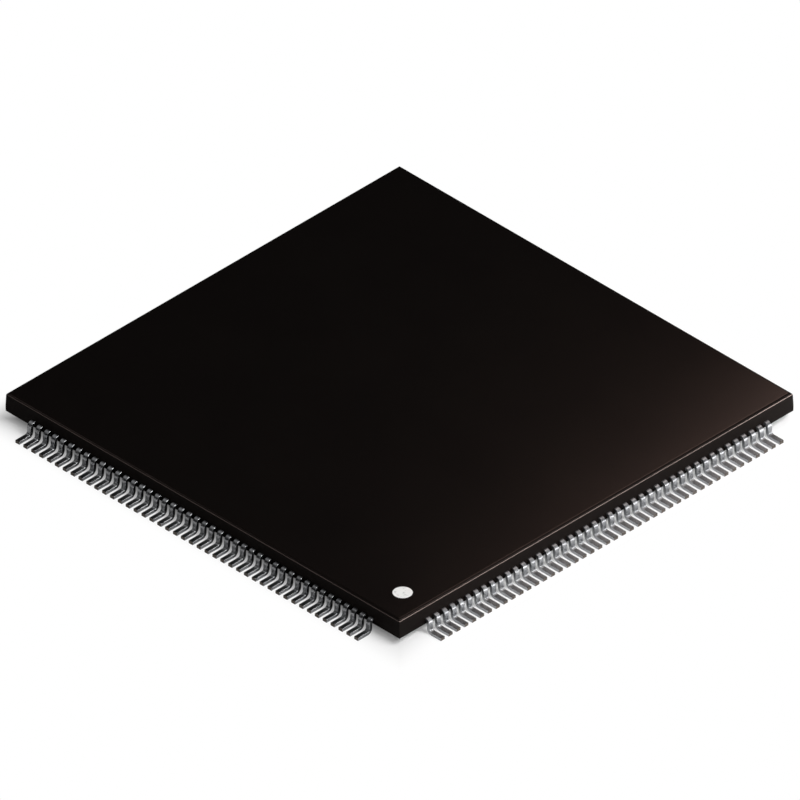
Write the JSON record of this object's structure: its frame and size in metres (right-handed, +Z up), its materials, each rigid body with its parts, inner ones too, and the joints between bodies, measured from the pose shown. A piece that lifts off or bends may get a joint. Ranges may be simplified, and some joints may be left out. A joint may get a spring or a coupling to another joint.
{
  "type": "quad flat pack chip",
  "caption": "Thin square surface-mount chip in a black moulded body, with fine gull-wing leads along every side and a white round mark at pin 1.",
  "frame": {"origin": "on the seating plane that the feet stand on, under the middle of the body", "axes": "+Z up, square to the body's top; +X and +Y along the body's edges; pin 1 is at the -X, -Y corner, and the front row lies on the -Y side"},
  "size_m": [0.0216, 0.0216, 0.0012],
  "materials": {
    "mould_compound": "black epoxy moulding compound, fine satin grain from the mould",
    "mark_ink": "white marking ink",
    "leadframe_copper": "bare copper alloy sheet",
    "die_adhesive": "cured silver-filled epoxy",
    "silicon": "polished silicon",
    "lead_tin_plate": "matt tin plate on copper alloy"
  },
  "bodies": {
    "root": {"mould_body": "mould_compound", "pin_1_mark": "mark_ink", "die_paddle": "leadframe_copper", "die_adhesive": "die_adhesive", "silicon_die": "silicon", "leads_front_bank_1": "lead_tin_plate", "leads_front_bank_2": "lead_tin_plate", "leads_front_bank_3": "lead_tin_plate", "leads_front_bank_4": "lead_tin_plate", "leads_right_bank_1": "lead_tin_plate", "leads_right_bank_2": "lead_tin_plate", "leads_right_bank_3": "lead_tin_plate", "leads_right_bank_4": "lead_tin_plate", "leads_back_bank_1": "lead_tin_plate", "leads_back_bank_2": "lead_tin_plate", "leads_back_bank_3": "lead_tin_plate", "leads_back_bank_4": "lead_tin_plate", "leads_left_bank_1": "lead_tin_plate", "leads_left_bank_2": "lead_tin_plate", "leads_left_bank_3": "lead_tin_plate", "leads_left_bank_4": "lead_tin_plate"}
  },
  "joints": []
}
